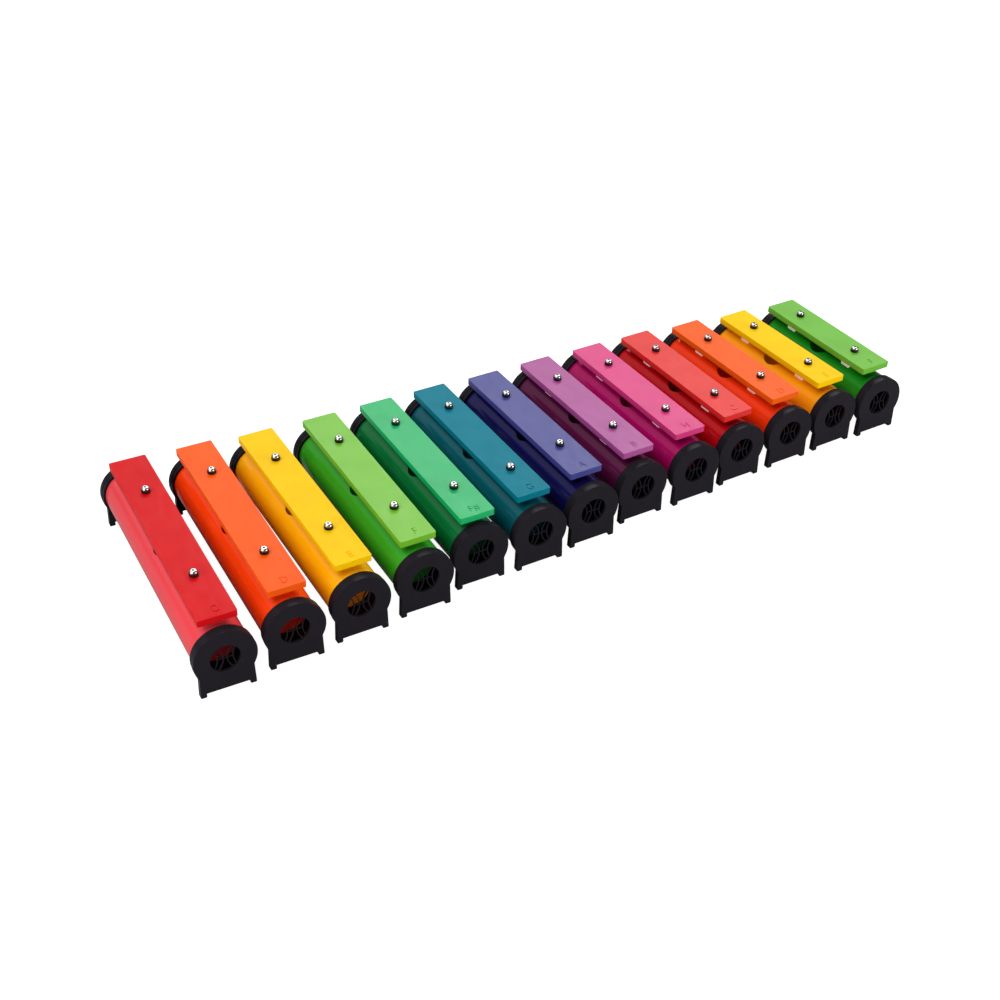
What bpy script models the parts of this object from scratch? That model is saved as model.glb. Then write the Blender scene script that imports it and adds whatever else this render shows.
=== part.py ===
"""A row of thirteen free-standing resonator bars, C to F, that together make one xylophone.

Each module is a plastic tube lying on two end caps with feet. A flat metal sound bar lies over
the tube on two soft pads, held by two screws with rubber washers. The modules only stand side by
side: each one lifts out of the row on its own.

Frame: +X runs along the row from the lowest note to the highest, +Y from the player to the far
side, +Z up. The origin is on the floor at the centre of the row's box.
"""

import math
from typing import NamedTuple

import bmesh
import bpy
from mathutils import Matrix, Vector

MM = 0.001
CLEARANCE = 0.3 * MM

# Row
PITCH = 62.8 * MM

# Sound bars: length falls with the square root of the pitch, stretched a little at the top
LONGEST_BAR = 253.5 * MM
SEMITONES_PER_HALVING = 24.6
BAR_WIDTH = 35.0 * MM
BAR_THICKNESS = 6.3 * MM
BAR_CORNER = 1.5 * MM
BAR_HOLE_RADIUS = 3.0 * MM
BAR_TOP = 73.2 * MM

# Resonator tubes
AXIS_HEIGHT = 35.5 * MM
TUBE_RADIUS = 25.25 * MM
TUBE_WALL = 1.8 * MM
TUBE_SEGMENTS = 24
SOUND_HOLE_RADIUS = 15.5 * MM
SOUND_HOLE_SEGMENTS = 14

# End caps: a plate with a foot, and behind it a skirt over the tube's end
CAP_RADIUS = 28.0 * MM
CAP_SEGMENTS = 20
PLATE_DEPTH = 5.5 * MM
SKIRT_RADIUS = 27.6 * MM
CAP_DEPTH = 10.0 * MM
CAP_WEB = 3.0 * MM
PORT_RADIUS = 13.5 * MM
PORT_SEGMENTS = 14
FOOT_TOP_HALF_WIDTH = 24.0 * MM
FOOT_HALF_WIDTH = 24.7 * MM
FOOT_NUB = 5.5 * MM
FOOT_ARCH = 4.0 * MM
FOOT_CORNER = 0.8 * MM

# Ribs across the port: two arcs back to back, joined by one level rib
RIB_WIDTH = 1.6 * MM
RIB_FRONT = 1.2 * MM
RIB_ARC_RADIUS = 20.0 * MM
RIB_VERTEX = 3.0 * MM
RIB_SEGMENTS = 2

# Pads, washers and screws; a pad is a saddle, flat on top and hollowed to the tube below
PAD_LENGTH = 11.0 * MM
PAD_WIDTH = 21.0 * MM
PAD_BOTTOM = 57.5 * MM
PAD_HOLE_RADIUS = 2.5 * MM
WASHER_RADIUS = 4.2 * MM
WASHER_HEIGHT = 3.2 * MM
SHANK_RADIUS = 2.0 * MM
SHANK_REACH = 6.0 * MM
HEAD_RADIUS = 3.8 * MM
HEAD_RIM = 1.0 * MM
HEAD_HEIGHT = 2.4 * MM
HEAD_FLAT_RADIUS = 1.8 * MM
ROUND_SEGMENTS = 8

BAR_BOTTOM = BAR_TOP - BAR_THICKNESS
TUBE_TOP = AXIS_HEIGHT + TUBE_RADIUS
WASHER_BOTTOM = BAR_TOP + CLEARANCE
WASHER_TOP = WASHER_BOTTOM + WASHER_HEIGHT


class Module(NamedTuple):
    """One chime bar, with its lengths in millimetres and its turn in degrees."""

    note: str
    semitones: int  # above the lowest C
    screws_apart: float
    tube_length: float  # from cap face to cap face
    set_back: float  # of the bar's front end from the front cap's face
    back: float  # how far it stands back in the row
    aside: float  # how far it stands right of its regular place
    turn: float
    bar_colour: tuple
    tube_colour: tuple


MODULES = (
    Module("c5", 0, 135.0, 273, 11.0, -20.0, -3.0, -3.3, (0.74, 0.04, 0.04), (0.70, 0.07, 0.08)),
    Module("d5", 2, 135.0, 254, 13.5, -16.5, -1.0, -3.0, (0.95, 0.17, 0.03), (0.80, 0.07, 0.01)),
    Module("e5", 4, 121.5, 245, 14.5, -13.5, 0.5, -2.0, (0.95, 0.62, 0.01), (0.90, 0.42, 0.01)),
    Module("f5", 5, 121.5, 237, 14.0, -11.5, 2.0, -2.3, (0.29, 0.63, 0.11), (0.04, 0.33, 0.03)),
    Module("f_sharp5", 6, 121.5, 228, 8.0, -2.0, 2.0, -2.0, (0.10, 0.55, 0.24), (0.01, 0.16, 0.05)),
    Module("g5", 7, 121.5, 228, 14.5, -5.5, 1.0, -1.3, (0.02, 0.27, 0.34), (0.01, 0.10, 0.14)),
    Module("a5", 9, 101.5, 219, 16.0, -0.5, 0.5, -1.0, (0.18, 0.19, 0.41), (0.02, 0.01, 0.10)),
    Module("b_flat5", 10, 101.5, 207, 12.0, 7.5, 1.0, -0.7, (0.51, 0.18, 0.40), (0.10, 0.02, 0.06)),
    Module("b5", 11, 101.5, 211, 15.5, 6.0, 1.5, -0.7, (0.83, 0.14, 0.33), (0.32, 0.01, 0.11)),
    Module("c6", 12, 101.5, 202, 12.5, 11.0, 0.0, -0.4, (0.87, 0.11, 0.10), (0.34, 0.01, 0.01)),
    Module("d6", 14, 88.3, 192, 14.0, 11.5, 0.5, 0.0, (0.95, 0.21, 0.06), (0.70, 0.04, 0.01)),
    Module("e6", 16, 88.3, 181, 14.0, 13.0, -0.5, 0.5, (0.95, 0.64, 0.01), (0.80, 0.28, 0.01)),
    Module("f6", 17, 88.3, 175, 14.0, 10.5, -3.5, -0.5, (0.23, 0.55, 0.08), (0.01, 0.18, 0.02)),
)
BLACK_PLASTIC = (0.016, 0.016, 0.018)
WHITE_FELT = (0.80, 0.80, 0.78)
BLACK_RUBBER = (0.012, 0.012, 0.012)
STEEL = (0.75, 0.75, 0.76)


def clear_scene():
    for old in list(bpy.data.objects):
        bpy.data.objects.remove(old)


def make_material(name, colour, roughness, metallic=0.0):
    material = bpy.data.materials.new(name)
    material.use_nodes = True
    shader = material.node_tree.nodes["Principled BSDF"]
    shader.inputs["Base Color"].default_value = (*colour, 1.0)
    shader.inputs["Roughness"].default_value = roughness
    shader.inputs["Metallic"].default_value = metallic
    return material


def arc(centre_x, centre_z, radius, start, end, segments):
    """Points along an arc, angles in degrees from +X towards +Z, both ends included."""
    points = []
    for step in range(segments + 1):
        angle = math.radians(start + (end - start) * step / segments)
        points.append((centre_x + radius * math.cos(angle), centre_z + radius * math.sin(angle)))
    return points


def circle(centre_x, centre_z, radius, segments):
    return arc(centre_x, centre_z, radius, 0, 360, segments)[:-1]


def extruded(name, loops, depth):
    """Flat outline with holes, filled and extruded by depth along its own Z, as a closed mesh."""
    curve = bpy.data.curves.new(name, "CURVE")
    curve.dimensions = "2D"
    curve.fill_mode = "BOTH"
    curve.extrude = depth / 2
    for loop in loops:
        spline = curve.splines.new("POLY")
        spline.points.add(len(loop) - 1)
        for point, (x, y) in zip(spline.points, loop):
            point.co = (x, y, 0.0, 1.0)
        spline.use_cyclic_u = True
    source = bpy.data.objects.new(name, curve)
    bpy.context.scene.collection.objects.link(source)
    depsgraph = bpy.context.evaluated_depsgraph_get()
    mesh = bpy.data.meshes.new_from_object(source.evaluated_get(depsgraph))
    bpy.data.objects.remove(source)
    bm = bmesh.new()
    bm.from_mesh(mesh)
    bmesh.ops.remove_doubles(bm, verts=bm.verts, dist=1e-6)
    bmesh.ops.recalc_face_normals(bm, faces=bm.faces)
    bm.to_mesh(mesh)
    bm.free()
    mesh.name = name
    return mesh


def upright(mesh, y_low, y_high):
    """Turns an extruded outline into the XZ plane, filling y_low to y_high."""
    turn = Matrix.Rotation(math.radians(90), 4, "X")
    mesh.transform(Matrix.Translation((0, (y_low + y_high) / 2, 0)) @ turn)
    return mesh


def round_bar(name, start, end, radius, segments, end_radius=None):
    """Cylinder or cone from point start to point end."""
    start, end = Vector(start), Vector(end)
    along = end - start
    bm = bmesh.new()
    bmesh.ops.create_cone(
        bm,
        cap_ends=True,
        segments=segments,
        radius1=radius,
        radius2=radius if end_radius is None else end_radius,
        depth=along.length,
    )
    turn = along.to_track_quat("Z", "Y").to_matrix().to_4x4()
    bm.transform(Matrix.Translation((start + end) / 2) @ turn)
    mesh = bpy.data.meshes.new(name)
    bm.to_mesh(mesh)
    bm.free()
    return mesh


def block(name, low, high):
    bm = bmesh.new()
    bmesh.ops.create_cube(bm, size=1.0)
    low, high = Vector(low), Vector(high)
    bm.transform(Matrix.Translation((low + high) / 2) @ Matrix.Diagonal((*(high - low), 1.0)))
    mesh = bpy.data.meshes.new(name)
    bm.to_mesh(mesh)
    bm.free()
    return mesh


def combined(name, base, steps):
    """One mesh from a base and a list of (operation, mesh) Boolean steps."""
    helpers = [bpy.data.objects.new(name, base)]
    for operation, mesh in steps:
        tool = bpy.data.objects.new(name + "_tool", mesh)
        modifier = helpers[0].modifiers.new(operation.lower(), "BOOLEAN")
        modifier.operation = operation
        modifier.solver = "EXACT"
        modifier.object = tool
        helpers.append(tool)
    for helper in helpers:
        bpy.context.scene.collection.objects.link(helper)
    depsgraph = bpy.context.evaluated_depsgraph_get()
    mesh = bpy.data.meshes.new_from_object(helpers[0].evaluated_get(depsgraph))
    for helper in helpers:
        bpy.data.objects.remove(helper)
    bm = bmesh.new()
    bm.from_mesh(mesh)
    bmesh.ops.remove_doubles(bm, verts=bm.verts, dist=2e-6)
    bmesh.ops.dissolve_degenerate(bm, edges=bm.edges, dist=2e-6)
    bm.to_mesh(mesh)
    bm.free()
    mesh.name = name
    return mesh


def turned(name, profile, centre_y, segments):
    """Solid of revolution about the vertical line at centre_y; profile is (radius, z) downwards."""
    mesh = bpy.data.meshes.new(name)
    points = [(radius, 0, z) for radius, z in profile]
    mesh.from_pydata(points, [(i, i + 1) for i in range(len(points) - 1)], [])
    source = bpy.data.objects.new(name, mesh)
    bpy.context.scene.collection.objects.link(source)
    screw = source.modifiers.new("turn", "SCREW")
    screw.steps = segments
    screw.render_steps = segments
    screw.use_merge_vertices = True
    screw.merge_threshold = 1e-5
    depsgraph = bpy.context.evaluated_depsgraph_get()
    result = bpy.data.meshes.new_from_object(source.evaluated_get(depsgraph))
    bpy.data.objects.remove(source)
    result.transform(Matrix.Translation((0, centre_y, 0)))
    return result


def bar_length(module):
    return LONGEST_BAR * 2 ** (-module.semitones / SEMITONES_PER_HALVING)


def bar_middle(module):
    return module.set_back * MM + bar_length(module) / 2


def screw_places(module):
    half = module.screws_apart * MM / 2
    return bar_middle(module) - half, bar_middle(module) + half


def bar_mesh(module):
    half = BAR_WIDTH / 2 - BAR_CORNER
    front = module.set_back * MM + BAR_CORNER
    rear = module.set_back * MM + bar_length(module) - BAR_CORNER
    corners = ((half, rear, 0), (-half, rear, 90), (-half, front, 180), (half, front, 270))
    outline = []
    for x, y, start in corners:
        outline += arc(x, y, BAR_CORNER, start, start + 90, 3)
    holes = [circle(0, y, BAR_HOLE_RADIUS, ROUND_SEGMENTS) for y in screw_places(module)]
    mesh = extruded("bar", [outline] + holes, BAR_THICKNESS)
    mesh.transform(Matrix.Translation((0, 0, BAR_TOP - BAR_THICKNESS / 2)))
    return mesh


def cap_outline():
    junction = math.degrees(math.acos(FOOT_TOP_HALF_WIDTH / CAP_RADIUS))
    outline = arc(0, AXIS_HEIGHT, CAP_RADIUS, -junction, 180 + junction, CAP_SEGMENTS)
    nub_inside = FOOT_HALF_WIDTH - FOOT_NUB
    half_foot = [
        (FOOT_HALF_WIDTH, FOOT_CORNER),
        (FOOT_HALF_WIDTH - FOOT_CORNER, 0),
        (nub_inside + FOOT_CORNER, 0),
        (nub_inside, FOOT_CORNER),
        (nub_inside, FOOT_ARCH),
    ]
    outline += [(-x, z) for x, z in half_foot]
    outline += reversed(half_foot)
    return outline


def rib(side):
    """Curved rib across the port with its vertex nearest the centre line, open side outwards."""
    half_angle = math.degrees(math.asin(PORT_RADIUS / RIB_ARC_RADIUS))
    centre = side * (RIB_VERTEX + RIB_ARC_RADIUS)
    facing = 180 if side > 0 else 0
    start, end = facing - half_angle, facing + half_angle
    outer = arc(centre, AXIS_HEIGHT, RIB_ARC_RADIUS, start, end, RIB_SEGMENTS)
    inner = arc(centre, AXIS_HEIGHT, RIB_ARC_RADIUS - RIB_WIDTH, end, start, RIB_SEGMENTS)
    return upright(extruded("rib", [outer + inner], CAP_WEB - RIB_FRONT), RIB_FRONT, CAP_WEB)


def cap_mesh():
    plate = upright(extruded("cap", [cap_outline()], PLATE_DEPTH), 0, PLATE_DEPTH)
    tube_side = CAP_DEPTH + MM
    axis = AXIS_HEIGHT
    skirt = round_bar(
        "skirt", (0, CAP_WEB, axis), (0, CAP_DEPTH, axis), SKIRT_RADIUS, TUBE_SEGMENTS
    )
    pocket = round_bar(
        "pocket", (0, CAP_WEB, axis), (0, tube_side, axis), TUBE_RADIUS + CLEARANCE, TUBE_SEGMENTS
    )
    port = round_bar("port", (0, -MM, axis), (0, tube_side, axis), PORT_RADIUS, PORT_SEGMENTS)
    steps = [("UNION", skirt), ("DIFFERENCE", pocket), ("DIFFERENCE", port)]
    for side in (-1, 1):
        steps.append(("UNION", rib(side)))
    level = block(
        "level_rib",
        (-PORT_RADIUS, RIB_FRONT, axis - RIB_WIDTH / 2),
        (PORT_RADIUS, CAP_WEB, axis + RIB_WIDTH / 2),
    )
    steps.append(("UNION", level))
    return combined("cap", plate, steps)


def pad_block(y):
    return block(
        "pad",
        (-PAD_WIDTH / 2, y - PAD_LENGTH / 2, PAD_BOTTOM),
        (PAD_WIDTH / 2, y + PAD_LENGTH / 2, BAR_BOTTOM - CLEARANCE),
    )


def tube_mesh(module, separate_fittings):
    """The tube, with its fittings joined on or with clearance holes for separate ones."""
    front = CAP_WEB + CLEARANCE
    rear = module.tube_length * MM - CAP_WEB - CLEARANCE
    axis = AXIS_HEIGHT
    outer = round_bar("tube", (0, front, axis), (0, rear, axis), TUBE_RADIUS, TUBE_SEGMENTS)
    bore = round_bar(
        "bore", (0, front - MM, axis), (0, rear + MM, axis), TUBE_RADIUS - TUBE_WALL, TUBE_SEGMENTS
    )
    middle = bar_middle(module)
    hole = round_bar(
        "hole", (0, middle, axis), (0, middle, TUBE_TOP + MM), SOUND_HOLE_RADIUS, SOUND_HOLE_SEGMENTS
    )
    steps = []
    for y in screw_places(module):
        if separate_fittings:
            pilot = round_bar(
                "pilot", (0, y, axis), (0, y, TUBE_TOP + MM), PAD_HOLE_RADIUS, ROUND_SEGMENTS
            )
            steps.append(("DIFFERENCE", pilot))
        else:
            steps.append(("UNION", pad_block(y)))
            steps.append(("UNION", joined_post_mesh(y)))
    steps += [("DIFFERENCE", bore), ("DIFFERENCE", hole)]
    return combined("tube", outer, steps)


def joined_post_mesh(y):
    profile = (
        (0.0, WASHER_TOP + HEAD_HEIGHT),
        (HEAD_FLAT_RADIUS, WASHER_TOP + HEAD_HEIGHT),
        (WASHER_RADIUS, WASHER_TOP),
        (WASHER_RADIUS, WASHER_BOTTOM),
        (SHANK_RADIUS, WASHER_BOTTOM),
        (SHANK_RADIUS, TUBE_TOP),
        (0.0, TUBE_TOP),
    )
    return turned("post", profile, y, ROUND_SEGMENTS)


def screw_mesh(y):
    seat = WASHER_TOP + CLEARANCE
    profile = (
        (0.0, WASHER_TOP + HEAD_HEIGHT),
        (HEAD_FLAT_RADIUS, WASHER_TOP + HEAD_HEIGHT),
        (HEAD_RADIUS, seat + HEAD_RIM),
        (HEAD_RADIUS, seat),
        (SHANK_RADIUS, seat),
        (SHANK_RADIUS, TUBE_TOP - SHANK_REACH),
        (0.0, TUBE_TOP - SHANK_REACH),
    )
    return turned("screw", profile, y, ROUND_SEGMENTS)


def washer_mesh(y):
    outer = circle(0, y, WASHER_RADIUS, ROUND_SEGMENTS)
    inner = circle(0, y, SHANK_RADIUS + CLEARANCE, ROUND_SEGMENTS)
    mesh = extruded("washer", [outer, inner], WASHER_HEIGHT)
    mesh.transform(Matrix.Translation((0, 0, WASHER_BOTTOM + WASHER_HEIGHT / 2)))
    return mesh


def pad_mesh(y):
    crown = round_bar(
        "crown",
        (0, y - PAD_LENGTH, AXIS_HEIGHT),
        (0, y + PAD_LENGTH, AXIS_HEIGHT),
        TUBE_RADIUS + CLEARANCE,
        TUBE_SEGMENTS,
    )
    hole = round_bar("hole", (0, y, AXIS_HEIGHT), (0, y, BAR_TOP), PAD_HOLE_RADIUS, ROUND_SEGMENTS)
    return combined("pad", pad_block(y), [("DIFFERENCE", crown), ("DIFFERENCE", hole)])


def place(name, mesh, material, parent, collection):
    piece = bpy.data.objects.new(name, mesh)
    collection.objects.link(piece)
    piece.parent = parent
    if not mesh.materials:
        mesh.materials.append(None)
    piece.material_slots[0].link = "OBJECT"
    piece.material_slots[0].material = material
    mesh.shade_smooth()
    mesh.set_sharp_from_angle(angle=math.radians(30))
    return piece


def build_module(index, row, collection, shared):
    module = MODULES[index]
    note = module.note
    frame = bpy.data.objects.new("module_" + note, None)
    collection.objects.link(frame)
    frame.parent = row
    frame.location = (index * PITCH + module.aside * MM, module.back * MM, 0)
    frame.rotation_euler = (0, 0, math.radians(module.turn))
    separate_fittings = index == 0

    bar_paint = make_material("bar_paint_" + note, module.bar_colour, 0.38)
    tube_plastic = make_material("tube_plastic_" + note, module.tube_colour, 0.16)
    place("bar_" + note, bar_mesh(module), bar_paint, frame, collection)
    place("tube_" + note, tube_mesh(module, separate_fittings), tube_plastic, frame, collection)
    place("front_cap_" + note, shared["cap"], shared["black"], frame, collection)
    rear_cap = place("rear_cap_" + note, shared["cap"], shared["black"], frame, collection)
    rear_cap.location = (0, module.tube_length * MM, 0)
    rear_cap.rotation_euler = (0, 0, math.pi)

    if separate_fittings:
        for label, y in zip(("front", "rear"), screw_places(module)):
            place(f"{label}_pad_{note}", pad_mesh(y), shared["felt"], frame, collection)
            place(f"{label}_washer_{note}", washer_mesh(y), shared["rubber"], frame, collection)
            place(f"{label}_screw_{note}", screw_mesh(y), shared["steel"], frame, collection)


def centre_on_footprint(row, collection):
    """Moves the row so that the origin is at the centre of its box."""
    bpy.context.view_layer.update()
    lows = Vector((math.inf, math.inf))
    highs = Vector((-math.inf, -math.inf))
    for piece in collection.objects:
        if piece.type == "MESH":
            for vertex in piece.data.vertices:
                x, y, _ = piece.matrix_world @ vertex.co
                lows = Vector((min(lows.x, x), min(lows.y, y)))
                highs = Vector((max(highs.x, x), max(highs.y, y)))
    centre = (lows + highs) / 2
    row.location = (-centre.x, -centre.y, 0)


def main():
    clear_scene()
    collection = bpy.data.collections.new("xylophone")
    bpy.context.scene.collection.children.link(collection)
    row = bpy.data.objects.new("row", None)
    collection.objects.link(row)
    shared = {
        "cap": cap_mesh(),
        "black": make_material("cap_plastic", BLACK_PLASTIC, 0.42),
        "felt": make_material("pad_felt", WHITE_FELT, 0.95),
        "rubber": make_material("washer_rubber", BLACK_RUBBER, 0.6),
        "steel": make_material("screw_steel", STEEL, 0.22, 1.0),
    }
    for index in range(len(MODULES)):
        build_module(index, row, collection, shared)
    centre_on_footprint(row, collection)


main()
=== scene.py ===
"""Looks for the row of thirteen resonator chime bars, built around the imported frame.

Every module is made in its own frame: origin on the floor under the middle of its front face, +Y
along the tube to the far side, +Z up. Lengths are in metres.
"""

import math

import bmesh
import bpy
from mathutils import Matrix, Vector


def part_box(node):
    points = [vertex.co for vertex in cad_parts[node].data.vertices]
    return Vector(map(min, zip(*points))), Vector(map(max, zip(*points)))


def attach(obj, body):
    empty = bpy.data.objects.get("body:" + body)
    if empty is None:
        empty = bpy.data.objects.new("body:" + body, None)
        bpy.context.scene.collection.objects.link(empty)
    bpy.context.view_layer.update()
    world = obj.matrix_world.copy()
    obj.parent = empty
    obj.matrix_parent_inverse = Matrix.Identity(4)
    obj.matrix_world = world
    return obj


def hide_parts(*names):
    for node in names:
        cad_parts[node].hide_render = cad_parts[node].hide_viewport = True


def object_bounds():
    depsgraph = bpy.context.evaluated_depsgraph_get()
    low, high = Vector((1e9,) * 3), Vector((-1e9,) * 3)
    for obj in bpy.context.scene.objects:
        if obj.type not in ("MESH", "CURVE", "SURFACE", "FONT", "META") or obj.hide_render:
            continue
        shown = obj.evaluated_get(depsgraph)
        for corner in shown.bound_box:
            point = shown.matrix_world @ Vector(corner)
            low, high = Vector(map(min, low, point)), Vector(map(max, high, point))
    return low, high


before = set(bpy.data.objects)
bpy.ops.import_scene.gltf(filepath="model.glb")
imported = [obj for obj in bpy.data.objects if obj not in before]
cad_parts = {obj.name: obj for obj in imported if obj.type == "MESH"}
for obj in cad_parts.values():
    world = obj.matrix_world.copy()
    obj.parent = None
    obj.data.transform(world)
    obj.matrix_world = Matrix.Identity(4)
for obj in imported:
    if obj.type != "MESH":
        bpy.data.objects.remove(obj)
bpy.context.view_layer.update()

MM = 0.001

# Sound bars
BAR_WIDTH = 35.0 * MM
BAR_THICKNESS = 6.3 * MM
BAR_CORNER = 1.5 * MM
BAR_EDGE = 0.35 * MM
BAR_HOLE_RADIUS = 3.0 * MM
BAR_TOP = 73.2 * MM
BAR_BOTTOM = BAR_TOP - BAR_THICKNESS
LETTER_SIZE = 12.5 * MM
LETTER_NARROWING = 0.82
LETTER_DEPTH = 0.5 * MM
LETTER_SET_BACK = 9.5 * MM
LETTER_ASIDE = 1.0 * MM
LETTER_RESOLUTION = 6

# Resonator tubes
AXIS_HEIGHT = 35.5 * MM
TUBE_RADIUS = 25.25 * MM
TUBE_WALL = 1.8 * MM
SOUND_HOLE_RADIUS = 15.5 * MM

# End caps: a plate with a foot, and behind it a skirt over the tube's end
CAP_RADIUS = 28.0 * MM
PLATE_DEPTH = 5.5 * MM
PLATE_EDGE = 0.5 * MM
SKIRT_RADIUS = 27.6 * MM
SKIRT_EDGE = 0.35 * MM
CAP_DEPTH = 10.0 * MM
CAP_WEB = 3.0 * MM
SLEEVE_DEPTH = 26.0 * MM
SLEEVE_WALL = 1.5 * MM
SLEEVE_ROOT = 0.5 * MM  # how far the sleeve starts inside the cap's web
PORT_RADIUS = 13.5 * MM
FOOT_TOP_HALF_WIDTH = 24.0 * MM
FOOT_HALF_WIDTH = 24.7 * MM
FOOT_NUB = 5.5 * MM
FOOT_ARCH = 4.0 * MM
NUB_ROUND = 0.9 * MM
RIB_WIDTH = 0.9 * MM
RIB_FRONT = 1.2 * MM
RIB_RADIUS = 17.0 * MM
RIB_VERTICES = (1.2 * MM, 6.4 * MM)
RIB_EDGE = 0.2 * MM
RIB_ROOT = 0.4 * MM  # how far the ribs run into the port's rim

# Pads, washers and screws; a pad is a saddle, flat on top and hollowed to the tube below
PAD_LENGTH = 11.0 * MM
PAD_WIDTH = 21.0 * MM
PAD_BULGE = 0.4 * MM
PAD_EDGE = 0.4 * MM
WASHER_RADIUS = 4.2 * MM
WASHER_HEIGHT = 3.2 * MM
WASHER_EDGE = 0.35 * MM
HEAD_RADIUS = 3.8 * MM
HEAD_RIM = 0.5 * MM
HEAD_HEIGHT = 2.3 * MM
HEAD_FLAT_RADIUS = 1.9 * MM
HEAD_CHAMFER = 0.2 * MM
SOCKET_RADIUS = 1.5 * MM
SOCKET_DEPTH = 1.5 * MM
SHANK_RADIUS = 2.0 * MM
SHANK_REACH = 6.0 * MM
SHANK_CHAMFER = 0.5 * MM

TOUCH = 0.02 * MM  # gap between pieces that touch
PAST = 1.0 * MM  # how far a cutting shape runs past what it cuts

# Steps in a full circle
LARGE_CIRCLE = 128
MIDDLE_CIRCLE = 96
HOLE_CIRCLE = 64
SMALL_CIRCLE = 48
SCREW_HOLE_CIRCLE = 32

# How far large faces set the shading of their corners
FLAT_FACE_WEIGHT = 90

# Note, letter, distance between the screws (mm), bar colour, how far the bar's gloss takes its
# colour, tube colour (linear)
MODULES = (
    ("c5", "C", 135.0, (0.58, 0.004, 0.007), 0.7, (0.67, 0.054, 0.066)),
    ("d5", "D", 135.0, (0.86, 0.095, 0.004), 0.65, (0.90, 0.050, 0.001)),
    ("e5", "E", 121.5, (0.86, 0.510, 0.002), 0.9, (0.94, 0.450, 0.001)),
    ("f5", "F", 121.5, (0.150, 0.450, 0.018), 0.0, (0.030, 0.340, 0.012)),
    ("f_sharp5", "F#", 121.5, (0.004, 0.390, 0.117), 0.0, (0.001, 0.155, 0.036)),
    ("g5", "G", 121.5, (0.002, 0.165, 0.230), 0.8, (0.001, 0.095, 0.125)),
    ("a5", "A", 101.5, (0.047, 0.049, 0.230), 0.0, (0.006, 0.005, 0.070)),
    ("b_flat5", "B", 101.5, (0.350, 0.065, 0.250), 0.0, (0.095, 0.005, 0.045)),
    ("b5", "H", 101.5, (0.600, 0.030, 0.180), 0.0, (0.400, 0.002, 0.110)),
    ("c6", "C", 101.5, (0.660, 0.018, 0.014), 0.1, (0.460, 0.002, 0.005)),
    ("d6", "D", 88.3, (0.810, 0.100, 0.003), 0.5, (0.820, 0.035, 0.001)),
    ("e6", "E", 88.3, (0.850, 0.520, 0.002), 0.9, (0.900, 0.330, 0.002)),
    ("f6", "F", 88.3, (0.130, 0.410, 0.030), 0.2, (0.007, 0.220, 0.008)),
)

# What sits at each screw, and its material slot
FITTINGS = (("pad", "pad_felt"), ("washer", "washer_rubber"), ("screw", "screw_steel"))

# Every module's textures are shifted by a step of this, so that no two look alike
SEED_STEP = 1.7

# The part of a noise texture's values that is stretched over a range
NOISE_LOW, NOISE_HIGH = 0.35, 0.65
TINT_LOW, TINT_HIGH = 0.3, 0.7

# Light: a very wide soft light from above and a little left, softboxes round the row and a dim
# room. The paper glows, which hides the shadows on it.
KEY_FROM = (-0.50, 0.0, 0.87)
KEY_WIDTH = 55.0
KEY_LIGHT = 2.3
ROOM_LIGHT = 0.045
PAPER_GLOW = 0.95
PAPER_SIZE = 40.0
PAPER_GREY = 0.34
# Painted light: the tubes' inner walls glow faintly in their own colour, though nothing inside them
# is a lamp.
INSIDE_PAINTED_GLOW = 0.035
# Painted light: the felt pads glow white, which lightens them in the shade under the bars.
PAD_PAINTED_GLOW = 0.2

# Name, place, what it is aimed at, size and power (W)
SOFTBOXES = (
    ("rear_softbox", (1.4, 1.9, 2.2), (0.3, 0.0, 0.0), (3.0, 1.3), 60),
    ("rear_left_softbox", (-1.2, 1.95, 1.35), (0.0, 0.1, 0.0), (1.2, 1.8), 5),
    ("front_softbox", (1.3, -2.0, 0.5), (0.2, -0.1, 0.0), (1.2, 0.8), 46),
    ("left_softbox", (-1.0, -0.3, 0.25), (-0.4, 0.0, 0.04), (0.5, 0.25), 2.9),
)

# Camera, in the row's frame
CAMERA_PLACE = (-0.6738, -1.0278, 0.8630)
CAMERA_HEADING = 32.12
CAMERA_DOWN = 35.84
CAMERA_ROLL = 1.424
CAMERA_LENS = 53.43
CAMERA_SENSOR = 36.0


# ---------------------------------------------------------------- materials


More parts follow.
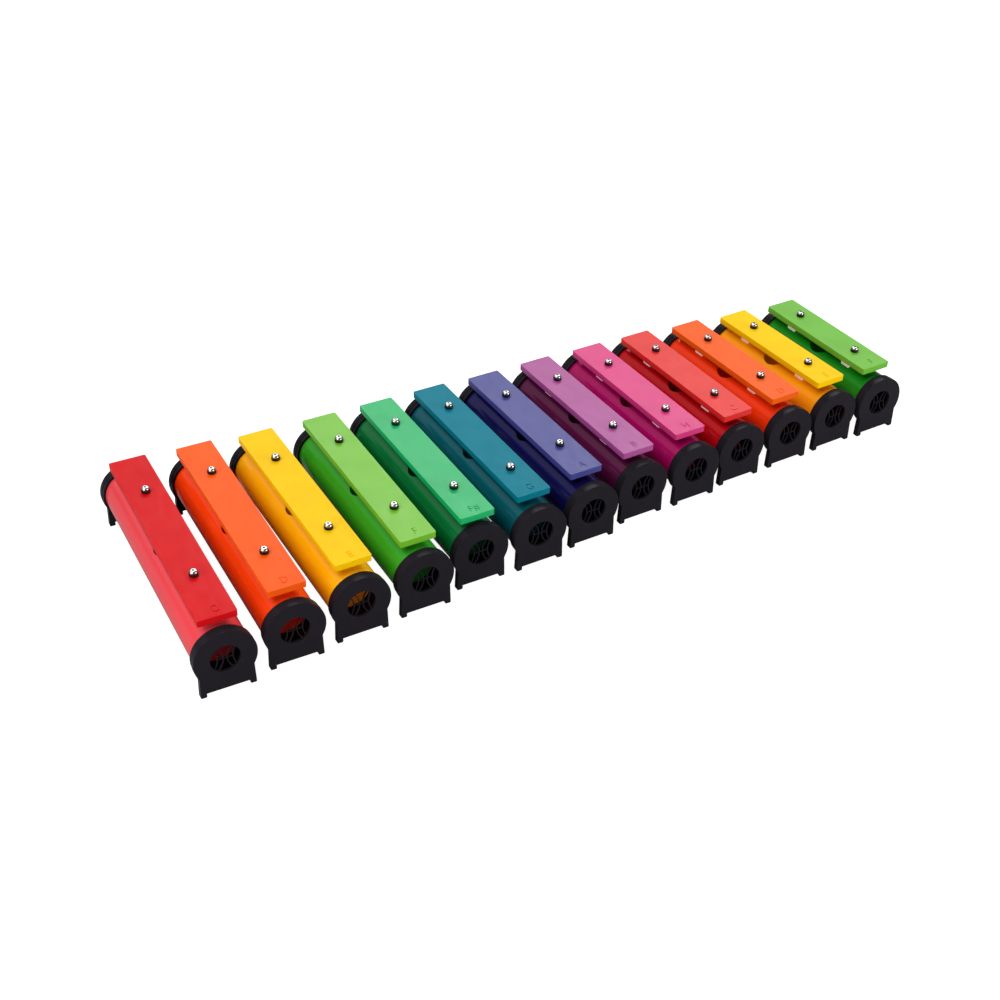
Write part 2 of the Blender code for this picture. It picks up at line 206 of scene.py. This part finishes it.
class Shader:
    """A Principled material with short ways to add procedural detail."""

    def __init__(self, name, colour, roughness, metallic=0.0):
        self.material = bpy.data.materials.new(name)
        self.material.use_nodes = True
        self.nodes = self.material.node_tree.nodes
        self.links = self.material.node_tree.links
        self.shader = self.nodes["Principled BSDF"]
        self.colour = colour
        self.set("Base Color", (*colour, 1.0))
        self.set("Roughness", roughness)
        self.set("Metallic", metallic)
        self.place = self.nodes.new("ShaderNodeTexCoord").outputs["Object"]
        self.normal = None

    def set(self, socket, value):
        self.shader.inputs[socket].default_value = value

    def noise(self, scale, stretch=(1, 1, 1), detail=3.0, shift=0.0):
        """A noise texture in the piece's own frame."""
        mapping = self.nodes.new("ShaderNodeMapping")
        mapping.inputs["Scale"].default_value = stretch
        mapping.inputs["Location"].default_value = (shift, shift, shift)
        self.links.new(self.place, mapping.inputs["Vector"])
        noise = self.nodes.new("ShaderNodeTexNoise")
        noise.inputs["Scale"].default_value = scale
        noise.inputs["Detail"].default_value = detail
        self.links.new(mapping.outputs["Vector"], noise.inputs["Vector"])
        return noise.outputs["Fac"]

    def tint(self, source, darker, lighter):
        """Varies the base colour between two multiples of itself."""
        ramp = self.nodes.new("ShaderNodeValToRGB")
        low, high = ramp.color_ramp.elements
        low.position, high.position = TINT_LOW, TINT_HIGH
        low.color = (*[c * darker for c in self.colour], 1.0)
        high.color = (*[min(1.0, c * lighter) for c in self.colour], 1.0)
        self.links.new(source, ramp.inputs["Fac"])
        self.links.new(ramp.outputs["Color"], self.shader.inputs["Base Color"])

    def rough(self, source, low, high):
        """Varies the roughness between two values."""
        remap = self.nodes.new("ShaderNodeMapRange")
        remap.inputs["From Min"].default_value = NOISE_LOW
        remap.inputs["From Max"].default_value = NOISE_HIGH
        remap.inputs["To Min"].default_value = low
        remap.inputs["To Max"].default_value = high
        self.links.new(source, remap.inputs["Value"])
        self.links.new(remap.outputs["Result"], self.shader.inputs["Roughness"])

    def bump(self, source, distance):
        """Adds relief from a texture to the relief there is."""
        bump = self.nodes.new("ShaderNodeBump")
        bump.inputs["Strength"].default_value = 1.0
        bump.inputs["Distance"].default_value = distance
        self.links.new(source, bump.inputs["Height"])
        if self.normal is not None:
            self.links.new(self.normal, bump.inputs["Normal"])
        self.normal = bump.outputs["Normal"]
        self.links.new(self.normal, self.shader.inputs["Normal"])


def bar_paint(note, colour, gloss_tint, seed):
    """Satin paint: faint orange peel and a slight drift of colour, its gloss partly coloured."""
    paint = Shader("bar_paint_" + note, colour, 0.38)
    paint.tint(paint.noise(28, detail=4, shift=seed), 0.95, 1.04)
    paint.rough(paint.noise(160, (1, 0.4, 1), 5, seed), 0.36, 0.44)
    paint.bump(paint.noise(900, detail=2, shift=seed), 0.02 * MM)
    paint.bump(paint.noise(2600, detail=2, shift=seed), 0.008 * MM)
    paint.set("Specular IOR Level", 0.35 * (1 - 0.8 * gloss_tint))
    tint = [1 - gloss_tint * (1 - c / max(colour)) for c in colour]
    paint.set("Specular Tint", (*tint, 1.0))
    return paint.material


def tube_plastic(note, colour, seed):
    """Glossy extruded plastic: long faint draw lines and a soft ripple."""
    plastic = Shader("tube_plastic_" + note, colour, 0.14)
    plastic.tint(plastic.noise(14, (1, 0.25, 1), 3, seed), 0.93, 1.05)
    plastic.rough(plastic.noise(240, (1, 0.06, 1), 4, seed), 0.11, 0.20)
    plastic.bump(plastic.noise(420, (1, 0.03, 1), 3, seed), 0.012 * MM)
    plastic.bump(plastic.noise(45, detail=1, shift=seed), 0.05 * MM)
    plastic.set("Specular IOR Level", 0.18)
    return plastic.material


def tube_inside(note, colour, seed):
    """The tube's inner wall, with a faint painted glow in its own colour that stands in for the
    light coming through the plastic.
    """
    plastic = Shader("tube_inside_" + note, colour, 0.3)
    plastic.tint(plastic.noise(14, (1, 0.25, 1), 3, seed), 0.90, 1.05)
    plastic.rough(plastic.noise(240, (1, 0.06, 1), 4, seed), 0.26, 0.40)
    plastic.set("Specular IOR Level", 0.18)
    # Painted light: a faint glow in the tube's colour stands in for light coming through the
    # plastic.
    plastic.set("Emission Color", (*colour, 1.0))
    plastic.set("Emission Strength", INSIDE_PAINTED_GLOW)
    return plastic.material


def cap_plastic():
    """Black moulded plastic with a fine spark-eroded grain."""
    plastic = Shader("cap_plastic", (0.0145, 0.0130, 0.0172), 0.22)
    plastic.set("Specular IOR Level", 0.04)
    plastic.tint(plastic.noise(90, detail=5), 0.93, 1.08)
    plastic.rough(plastic.noise(130, detail=6), 0.18, 0.27)
    plastic.bump(plastic.noise(2400, detail=1), 0.008 * MM)
    return plastic.material


def pad_felt():
    """White pressed felt: matted fibres and a little fuzz, with a painted glow that lightens it in
    the shade under the bar.
    """
    felt = Shader("pad_felt", (0.93, 0.93, 0.91), 0.95)
    felt.tint(felt.noise(700, (1, 1, 2), 6), 0.86, 1.06)
    felt.bump(felt.noise(1500, (1, 1, 3), 5), 0.25 * MM)
    felt.bump(felt.noise(5200, (1, 3, 1), 3), 0.08 * MM)
    felt.set("Sheen Weight", 0.35)
    felt.set("Sheen Roughness", 0.5)
    # Painted light: a white glow keeps the pads bright in the shade under the bar.
    felt.set("Emission Color", (1, 1, 0.97, 1))
    felt.set("Emission Strength", PAD_PAINTED_GLOW)
    return felt.material


def washer_rubber():
    rubber = Shader("washer_rubber", (0.004, 0.004, 0.0045), 0.5)
    rubber.tint(rubber.noise(600, detail=4), 0.8, 1.5)
    rubber.rough(rubber.noise(900, detail=4), 0.42, 0.62)
    rubber.set("Specular IOR Level", 0.2)
    rubber.bump(rubber.noise(3800, detail=2), 0.02 * MM)
    return rubber.material


def screw_steel():
    """Bright nickel plate with fine polishing marks."""
    steel = Shader("screw_steel", (0.46, 0.45, 0.44), 0.22, 1.0)
    steel.tint(steel.noise(900, detail=3), 0.92, 1.05)
    steel.rough(steel.noise(1500, (1, 1, 6), 4), 0.16, 0.28)
    steel.bump(steel.noise(3000, (1, 1, 8), 2), 0.004 * MM)
    return steel.material


def floor_material():
    """Glowing studio paper."""
    floor = Shader("studio_floor", (PAPER_GREY,) * 3, 0.85)
    floor.rough(floor.noise(3), 0.80, 0.92)
    floor.set("Specular IOR Level", 0.1)
    floor.set("Emission Color", (1, 1, 1, 1))
    floor.set("Emission Strength", PAPER_GLOW)
    return floor.material


# ---------------------------------------------------------------- mesh tools


def arc(centre_x, centre_y, radius, start, end, segments):
    """Points along an arc, its angles in degrees, both ends included."""
    points = []
    for step in range(segments + 1):
        angle = math.radians(start + (end - start) * step / segments)
        points.append((centre_x + radius * math.cos(angle), centre_y + radius * math.sin(angle)))
    return points


def circle(centre_x, centre_y, radius, segments):
    return arc(centre_x, centre_y, radius, 0, 360, segments)[:-1]


def evaluated(source):
    """The mesh of an object as its modifiers leave it. The object itself is removed."""
    depsgraph = bpy.context.evaluated_depsgraph_get()
    mesh = bpy.data.meshes.new_from_object(source.evaluated_get(depsgraph))
    bpy.data.objects.remove(source)
    return mesh


def linked(name, data):
    """A new object in the scene that holds the data."""
    thing = bpy.data.objects.new(name, data)
    bpy.context.scene.collection.objects.link(thing)
    return thing


def cleaned(mesh, distance=1e-6):
    """The mesh welded, with its faces turned outwards."""
    bm = bmesh.new()
    bm.from_mesh(mesh)
    bmesh.ops.remove_doubles(bm, verts=bm.verts, dist=distance)
    bmesh.ops.dissolve_degenerate(bm, edges=bm.edges, dist=distance)
    bmesh.ops.recalc_face_normals(bm, faces=bm.faces)
    bm.to_mesh(mesh)
    bm.free()
    return mesh


def extruded(name, loops, depth):
    """A plate around Z = 0 from flat loops, where a loop inside another is a hole."""
    curve = bpy.data.curves.new(name, "CURVE")
    curve.dimensions = "2D"
    curve.fill_mode = "BOTH"
    curve.extrude = depth / 2
    for loop in loops:
        spline = curve.splines.new("POLY")
        spline.points.add(len(loop) - 1)
        for point, (x, y) in zip(spline.points, loop):
            point.co = (x, y, 0.0, 1.0)
        spline.use_cyclic_u = True
    return cleaned(evaluated(linked(name, curve)))


def upright(mesh, y_low, y_high):
    """Stands a flat plate up, its outline across the module, between two places along it."""
    turn = Matrix.Rotation(math.radians(90), 4, "X")
    mesh.transform(Matrix.Translation((0, (y_low + y_high) / 2, 0)) @ turn)
    return mesh


def rod(name, start, end, radius, segments):
    """A cylinder from one point to another."""
    start, end = Vector(start), Vector(end)
    along = end - start
    bm = bmesh.new()
    bmesh.ops.create_cone(
        bm, cap_ends=True, segments=segments, radius1=radius, radius2=radius, depth=along.length
    )
    turn = along.to_track_quat("Z", "Y").to_matrix().to_4x4()
    bm.transform(Matrix.Translation((start + end) / 2) @ turn)
    mesh = bpy.data.meshes.new(name)
    bm.to_mesh(mesh)
    bm.free()
    return mesh


def block(name, low, high):
    """A box between two corners."""
    bm = bmesh.new()
    bmesh.ops.create_cube(bm, size=1.0)
    low, high = Vector(low), Vector(high)
    bm.transform(Matrix.Translation((low + high) / 2) @ Matrix.Diagonal((*(high - low), 1.0)))
    mesh = bpy.data.meshes.new(name)
    bm.to_mesh(mesh)
    bm.free()
    return mesh


def turned(name, profile, segments):
    """Solid of revolution about Z from (radius, z) points running down the outer side."""
    mesh = bpy.data.meshes.new(name)
    points = [(radius, 0, z) for radius, z in profile]
    mesh.from_pydata(points, [(i, i + 1) for i in range(len(points) - 1)], [])
    source = linked(name, mesh)
    screw = source.modifiers.new("turn", "SCREW")
    screw.steps = segments
    screw.render_steps = segments
    screw.use_merge_vertices = True
    screw.merge_threshold = 1e-6
    return cleaned(evaluated(source))


def combined(name, base, steps):
    """One mesh from a base and (operation, mesh) Boolean steps."""
    source = linked(name, base)
    tools = []
    for operation, mesh in steps:
        tool = linked(name + "_tool", mesh)
        modifier = source.modifiers.new(operation.lower(), "BOOLEAN")
        modifier.operation = operation
        modifier.solver = "EXACT"
        modifier.object = tool
        tools.append(tool)
    bpy.context.view_layer.update()
    mesh = evaluated(source)
    for tool in tools:
        bpy.data.objects.remove(tool)
    return mesh


def rounded(mesh, width, segments=3, angle=35):
    """The mesh with its edges sharper than the angle rounded."""
    source = linked("rounding", mesh)
    bevel = source.modifiers.new("edges", "BEVEL")
    bevel.width = width
    bevel.segments = segments
    bevel.limit_method = "ANGLE"
    bevel.angle_limit = math.radians(angle)
    bevel.miter_outer = "MITER_ARC"
    return evaluated(source)


def smooth(mesh, angle=32):
    """Smooth shading that leaves edges sharper than the angle sharp and large faces flat."""
    mesh.shade_smooth()
    mesh.set_sharp_from_angle(angle=math.radians(angle))
    source = linked("smoothing", mesh)
    weighted = source.modifiers.new("flat_faces", "WEIGHTED_NORMAL")
    weighted.keep_sharp = True
    weighted.weight = FLAT_FACE_WEIGHT
    return evaluated(source)


# ---------------------------------------------------------------- pieces


def letter_mesh(letter, front):
    """What engraves the letter: a solid that straddles the bar's top."""
    text = bpy.data.curves.new("letter", "FONT")
    text.body = letter
    text.size = LETTER_SIZE
    text.align_x = "CENTER"
    text.align_y = "CENTER"
    text.extrude = LETTER_DEPTH
    text.resolution_u = LETTER_RESOLUTION
    mesh = cleaned(evaluated(linked("letter", text)))
    place = Matrix.Translation((LETTER_ASIDE, front + LETTER_SET_BACK, BAR_TOP))
    mesh.transform(place @ Matrix.Diagonal((LETTER_NARROWING, 1, 1, 1)))
    return mesh


def bar_mesh(middle, length, screws, letter):
    """Flat bar with two screw holes and its letter."""
    half = BAR_WIDTH / 2 - BAR_CORNER
    front = middle - length / 2 + BAR_CORNER
    rear = middle + length / 2 - BAR_CORNER
    corners = ((half, rear, 0), (-half, rear, 90), (-half, front, 180), (half, front, 270))
    outline = []
    for x, y, start in corners:
        outline += arc(x, y, BAR_CORNER, start, start + 90, 9)
    holes = [circle(0, y, BAR_HOLE_RADIUS, SCREW_HOLE_CIRCLE) for y in screws]
    mesh = extruded("bar", [outline] + holes, BAR_THICKNESS)
    mesh.transform(Matrix.Translation((0, 0, BAR_TOP - BAR_THICKNESS / 2)))
    mesh = rounded(mesh, BAR_EDGE)
    engraving = letter_mesh(letter, middle - length / 2)
    return smooth(combined("bar", mesh, [("DIFFERENCE", engraving)]))


def tube_mesh(length, hole_y):
    """Open tube with a sound hole, its inner wall on the second material."""
    front, rear = CAP_WEB, length - CAP_WEB
    axis = AXIS_HEIGHT
    outer = rod("tube", (0, front, axis), (0, rear, axis), TUBE_RADIUS, LARGE_CIRCLE)
    inner = TUBE_RADIUS - TUBE_WALL
    bore = rod("bore", (0, front - PAST, axis), (0, rear + PAST, axis), inner, LARGE_CIRCLE)
    top = axis + TUBE_RADIUS + PAST
    hole = rod("hole", (0, hole_y, axis), (0, hole_y, top), SOUND_HOLE_RADIUS, HOLE_CIRCLE)
    mesh = smooth(combined("tube", outer, [("DIFFERENCE", bore), ("DIFFERENCE", hole)]))
    middle_of_wall = TUBE_RADIUS - TUBE_WALL / 2
    for face in mesh.polygons:
        if math.hypot(face.center.x, face.center.z - axis) < middle_of_wall:
            face.material_index = 1
    return mesh


def cap_outline():
    """The plate's outline: a round head, sides that run down to a foot, and two nubs."""
    junction = math.degrees(math.acos(FOOT_TOP_HALF_WIDTH / CAP_RADIUS))
    outline = arc(0, AXIS_HEIGHT, CAP_RADIUS, -junction, 180 + junction, 96)
    inside = FOOT_HALF_WIDTH - FOOT_NUB
    nub = arc(inside + NUB_ROUND, NUB_ROUND, NUB_ROUND, 180, 270, 5)
    nub += arc(FOOT_HALF_WIDTH - NUB_ROUND, NUB_ROUND, NUB_ROUND, 270, 360, 5)
    right_foot = [(inside, FOOT_ARCH)] + nub
    outline += [(-x, z) for x, z in reversed(right_foot)]
    outline += right_foot
    return outline


def rib_mesh(side, vertex):
    """Curved rib across the port, its vertex nearest the centre line, open side outwards."""
    centre = side * (vertex + RIB_RADIUS)
    half = math.degrees(math.asin(PORT_RADIUS / RIB_RADIUS))
    facing = 180 if side > 0 else 0
    outer = arc(centre, AXIS_HEIGHT, RIB_RADIUS, facing - half, facing + half, 20)
    inner = arc(centre, AXIS_HEIGHT, RIB_RADIUS - RIB_WIDTH, facing + half, facing - half, 20)
    mesh = extruded("rib", [outer + inner], CAP_WEB - RIB_FRONT)
    return upright(mesh, RIB_FRONT, CAP_WEB)


def grille_mesh():
    """Four curved ribs and the short level rib between the outer pair, trimmed to the port."""
    axis = AXIS_HEIGHT
    reach = RIB_VERTICES[1] + RIB_WIDTH / 2
    low = (-reach, RIB_FRONT, axis - RIB_WIDTH / 2)
    high = (reach, CAP_WEB, axis + RIB_WIDTH / 2)
    steps = [("UNION", rib_mesh(side, vertex)) for side in (-1, 1) for vertex in RIB_VERTICES]
    rim = PORT_RADIUS + RIB_ROOT
    keep = rod("keep", (0, 0, axis), (0, CAP_WEB + PAST, axis), rim, MIDDLE_CIRCLE)
    steps.append(("INTERSECT", keep))
    mesh = combined("grille", block("level", low, high), steps)
    return rounded(cleaned(mesh, 1e-5), RIB_EDGE, 2, 50)


def sleeve_mesh():
    """The cap's inner sleeve, inside the tube's end."""
    outer = TUBE_RADIUS - TUBE_WALL - TOUCH
    radii = (outer, outer - SLEEVE_WALL)
    rings = [circle(0, AXIS_HEIGHT, radius, MIDDLE_CIRCLE) for radius in radii]
    front = CAP_WEB - SLEEVE_ROOT
    sleeve = upright(extruded("sleeve", rings, SLEEVE_DEPTH - front), front, SLEEVE_DEPTH)
    return rounded(sleeve, SKIRT_EDGE, 2, 40)


def cap_mesh():
    """A plate with a port, its grille and a two-nubbed foot, a skirt over the tube's end and a
    sleeve inside it."""
    axis = AXIS_HEIGHT
    port = circle(0, axis, PORT_RADIUS, MIDDLE_CIRCLE)
    plate = upright(extruded("cap", [cap_outline(), port], PLATE_DEPTH), 0, PLATE_DEPTH)
    plate = rounded(plate, PLATE_EDGE, 3, 40)
    radii = (SKIRT_RADIUS, TUBE_RADIUS + TOUCH)
    rings = [circle(0, axis, radius, LARGE_CIRCLE) for radius in radii]
    skirt = upright(extruded("skirt", rings, CAP_DEPTH - CAP_WEB), CAP_WEB, CAP_DEPTH)
    skirt = rounded(skirt, SKIRT_EDGE, 3, 40)
    behind = CAP_DEPTH + PAST
    pocket = rod("pocket", (0, CAP_WEB, axis), (0, behind, axis), TUBE_RADIUS + TOUCH, LARGE_CIRCLE)
    body = combined("cap", plate, [("UNION", skirt), ("DIFFERENCE", pocket)])
    bm = bmesh.new()
    bm.from_mesh(cleaned(body))
    bm.from_mesh(grille_mesh())
    bm.from_mesh(sleeve_mesh())
    bm.to_mesh(body)
    bm.free()
    return smooth(body, 40)


def pad_mesh():
    """Felt saddle: flat under the bar, hollowed to the tube, its sides squeezed out a little."""
    half = PAD_WIDTH / 2
    lean = math.degrees(math.asin(half / TUBE_RADIUS))
    hollow = arc(0, AXIS_HEIGHT, TUBE_RADIUS + TOUCH, 90 + lean, 90 - lean, 24)
    foot = hollow[0][1]
    side = []
    for step in range(1, 9):
        rise = step / 8
        bulge = PAD_BULGE * math.sin(math.pi * rise)
        side.append((half + bulge, foot + (BAR_BOTTOM - TOUCH - foot) * rise))
    outline = hollow + side + [(-x, z) for x, z in reversed(side)]
    mesh = upright(extruded("pad", [outline], PAD_LENGTH), -PAD_LENGTH / 2, PAD_LENGTH / 2)
    return smooth(rounded(mesh, PAD_EDGE, 3, 50), 50)


def washer_mesh():
    """Soft ring, slightly barrelled where the screw squeezes it."""
    top, bottom = BAR_TOP + WASHER_HEIGHT, BAR_TOP
    profile = [(SHANK_RADIUS, top), (WASHER_RADIUS - WASHER_EDGE, top)]
    for step in range(1, 12):
        turn = math.pi * step / 12
        barrel = WASHER_RADIUS - WASHER_EDGE * abs(math.cos(turn)) ** 3
        profile.append((barrel, (top + bottom) / 2 + (WASHER_HEIGHT / 2) * math.cos(turn)))
    profile.append((WASHER_RADIUS - WASHER_EDGE, bottom))
    profile += [(SHANK_RADIUS, bottom), (SHANK_RADIUS, top)]
    return smooth(turned("washer", profile, SMALL_CIRCLE), 40)


def screw_mesh():
    """Button head with a flat crown and a hexagon socket, and its shank down into the tube."""
    seat = BAR_TOP + WASHER_HEIGHT + TOUCH
    top = seat + HEAD_HEIGHT
    tip = AXIS_HEIGHT + TUBE_RADIUS - SHANK_REACH
    dome = HEAD_HEIGHT - HEAD_RIM
    profile = [(0.0, top), (HEAD_FLAT_RADIUS, top)]
    for step in range(1, 13):
        turn = math.pi / 2 * step / 12
        radius = HEAD_FLAT_RADIUS + (HEAD_RADIUS - HEAD_FLAT_RADIUS) * math.sin(turn)
        profile.append((radius, seat + HEAD_RIM + dome * math.cos(turn)))
    profile += [
        (HEAD_RADIUS, seat + HEAD_CHAMFER),
        (HEAD_RADIUS - HEAD_CHAMFER, seat),
        (SHANK_RADIUS, seat),
        (SHANK_RADIUS, tip + SHANK_CHAMFER),
        (SHANK_RADIUS - SHANK_CHAMFER, tip),
        (0.0, tip),
    ]
    head = turned("screw", profile, SMALL_CIRCLE)
    socket = rod("socket", (0, 0, top - SOCKET_DEPTH), (0, 0, top + PAST), SOCKET_RADIUS, 6)
    return smooth(combined("screw", head, [("DIFFERENCE", socket)]), 30)


# ---------------------------------------------------------------- assembly


def module_place(note):
    """The module's frame and its length, from the boxes of its two end caps."""
    front_low, front_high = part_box("front_cap_" + note)
    rear_low, rear_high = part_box("rear_cap_" + note)
    front = (front_low + front_high) / 2
    along = (rear_low + rear_high) / 2 - front
    # Seen from above a cap's box is centred on its plate across the row, on its skirt along it
    length = along.length + CAP_DEPTH
    turn = math.atan2(-along.x * (length - CAP_DEPTH) / (length - PLATE_DEPTH), along.y)
    x = front.x + math.sin(turn) * PLATE_DEPTH / 2
    y = front.y - math.cos(turn) * CAP_DEPTH / 2
    return Matrix.Translation((x, y, 0)) @ Matrix.Rotation(turn, 4, "Z"), length


def bar_size(note, place):
    """Where the bar's middle is along the module, and the bar's length, from its box."""
    low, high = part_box("bar_" + note)
    middle = (place.inverted() @ ((low + high) / 2)).y
    turn = place.to_euler().z
    round_ends = 2 * BAR_CORNER
    across = (BAR_WIDTH - round_ends) * abs(math.sin(turn))
    return middle, (high.y - low.y - round_ends - across) / math.cos(turn) + round_ends


def add(name, mesh, material, place, note, slot, *nodes):
    """Puts a piece in the row, to move with its module and stand for CAD nodes."""
    piece = linked(name, mesh)
    piece.matrix_world = place
    if not mesh.materials:
        mesh.materials.append(material)
    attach(piece, "chime_" + note)
    if nodes:
        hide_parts(*nodes)
    return piece


def build_module(index, shared):
    """One chime bar with its ten pieces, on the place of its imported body."""
    note, letter, spacing, bar_colour, gloss_tint, tube_colour = MODULES[index]
    place, length = module_place(note)
    middle, bar_length = bar_size(note, place)
    half = spacing * MM / 2
    screws = {"front": middle - half, "rear": middle + half}
    seed = index * SEED_STEP

    paint = bar_paint(note, bar_colour, gloss_tint, seed)
    plastic = tube_plastic(note, tube_colour, seed)
    bar = bar_mesh(middle, bar_length, screws.values(), letter)
    add("sound_bar_" + note, bar, paint, place, note, "bar_paint_" + note, "bar_" + note)
    tube = tube_mesh(length, middle)
    tube.materials.append(plastic)
    tube.materials.append(tube_inside(note, tube_colour, seed))
    add("resonator_" + note, tube, plastic, place, note, "tube_plastic_" + note, "tube_" + note)
    far_end = Matrix.Translation((0, length, 0)) @ Matrix.Rotation(math.pi, 4, "Z")
    black = shared["cap_plastic"]
    for end, at in (("front", place), ("rear", place @ far_end)):
        node = f"{end}_cap_{note}"
        add(f"end_cap_{end}_{note}", shared["cap"], black, at, note, "cap_plastic", node)
    for end, y in screws.items():
        at = place @ Matrix.Translation((0, y, 0))
        for kind, slot in FITTINGS:
            node = f"{end}_{kind}_{note}"
            nodes = [node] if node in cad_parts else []
            piece = add(f"{kind}_{end}_{note}", shared[kind], shared[slot], at, note, slot, *nodes)


def build_stage():
    """The paper. Its glow lights nothing but itself."""
    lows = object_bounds()[0]
    bpy.ops.mesh.primitive_plane_add(size=PAPER_SIZE, location=(0, 0, min(0.0, lows.z)))
    floor = bpy.context.active_object
    floor.name = "studio_floor"
    floor.data.materials.append(floor_material())
    receivers = bpy.data.collections.new("lit_by_the_paper")
    floor.light_linking.receiver_collection = receivers
    receivers.objects.link(floor)


def softbox(name, place, aim, size, power):
    """A rectangular lamp that faces what it is aimed at."""
    light = bpy.data.lights.new(name, "AREA")
    light.shape = "RECTANGLE"
    light.size, light.size_y = size
    light.energy = power
    lamp = linked(name, light)
    lamp.location = place
    lamp.rotation_euler = (Vector(place) - Vector(aim)).to_track_quat("Z", "Y").to_euler()


def build_world():
    """A dim room that looks as white as the paper beyond the paper's edge."""
    world = bpy.data.worlds.new("studio")
    world.use_nodes = True
    nodes, links = world.node_tree.nodes, world.node_tree.links
    room = nodes["Background"]
    room.inputs["Color"].default_value = (1, 1, 1, 1)
    room.inputs["Strength"].default_value = ROOM_LIGHT
    backdrop = nodes.new("ShaderNodeBackground")
    backdrop.inputs["Color"].default_value = (1, 1, 1, 1)
    seen_directly = nodes.new("ShaderNodeLightPath").outputs["Is Camera Ray"]
    either = nodes.new("ShaderNodeMixShader")
    links.new(seen_directly, either.inputs[0])
    links.new(room.outputs["Background"], either.inputs[1])
    links.new(backdrop.outputs["Background"], either.inputs[2])
    links.new(either.outputs["Shader"], nodes["World Output"].inputs["Surface"])
    bpy.context.scene.world = world


def build_light():
    """The overhead light and the softboxes."""
    light = bpy.data.lights.new("overhead_light", "SUN")
    light.energy = KEY_LIGHT
    light.angle = math.radians(KEY_WIDTH)
    lamp = linked("overhead_light", light)
    lamp.rotation_euler = Vector(KEY_FROM).to_track_quat("Z", "Y").to_euler()
    for row in SOFTBOXES:
        softbox(*row)
    bpy.context.scene.view_settings.view_transform = "Standard"


def build_camera():
    heading, down = math.radians(CAMERA_HEADING), math.radians(CAMERA_DOWN)
    roll = math.radians(CAMERA_ROLL)
    camera = bpy.data.cameras.new("camera")
    camera.lens = CAMERA_LENS
    camera.sensor_width = CAMERA_SENSOR
    view = linked("camera", camera)
    look = (
        Matrix.Rotation(-heading, 4, "Z")
        @ Matrix.Rotation(math.pi / 2 - down, 4, "X")
        @ Matrix.Rotation(roll, 4, "Z")
    )
    view.matrix_world = Matrix.Translation(CAMERA_PLACE) @ look
    bpy.context.scene.camera = view


def main():
    build_camera()
    build_world()
    build_light()
    shared = {
        "cap": cap_mesh(),
        "pad": pad_mesh(),
        "washer": washer_mesh(),
        "screw": screw_mesh(),
        "cap_plastic": cap_plastic(),
        "pad_felt": pad_felt(),
        "washer_rubber": washer_rubber(),
        "screw_steel": screw_steel(),
    }
    for index in range(len(MODULES)):
        build_module(index, shared)
    build_stage()


main()
